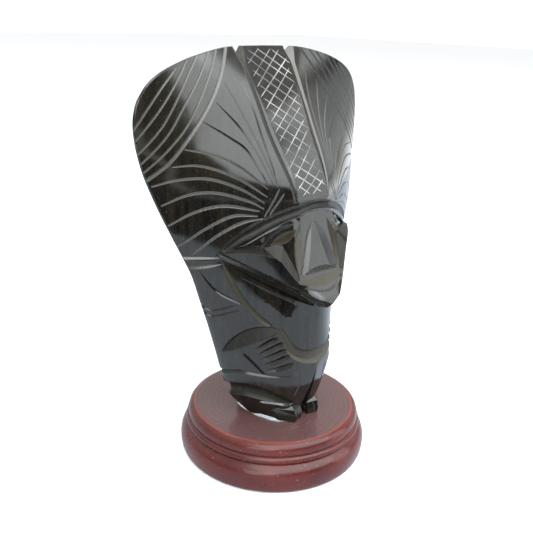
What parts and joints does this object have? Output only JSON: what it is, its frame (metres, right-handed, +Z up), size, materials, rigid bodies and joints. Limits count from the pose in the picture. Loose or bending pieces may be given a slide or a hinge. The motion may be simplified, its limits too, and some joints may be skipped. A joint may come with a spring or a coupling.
{
  "type": "carved stone idol mask figure on turned wooden stand",
  "caption": "Squatting figure with a mask-like face and a wide split feather headdress, carved in polished black stone and glued to a round turned wooden stand.",
  "frame": {"origin": "middle of the stand's underside, on the surface it rests on", "axes": "+Z up, the figure faces -Y, its width runs along X"},
  "size_m": [0.1468, 0.1006, 0.2132],
  "materials": {
    "obsidian": "polished black volcanic glass with a faint golden sheen, grooves left ground",
    "clear_glue": "clear glossy set glue",
    "stained_wood": "deep red-brown stain under a thin semi-gloss varnish",
    "felt": "pressed felt"
  },
  "bodies": {
    "root": {"carving": "obsidian", "adhesive": "clear_glue", "wooden_base": "stained_wood", "felt_disc": "felt"}
  },
  "joints": []
}
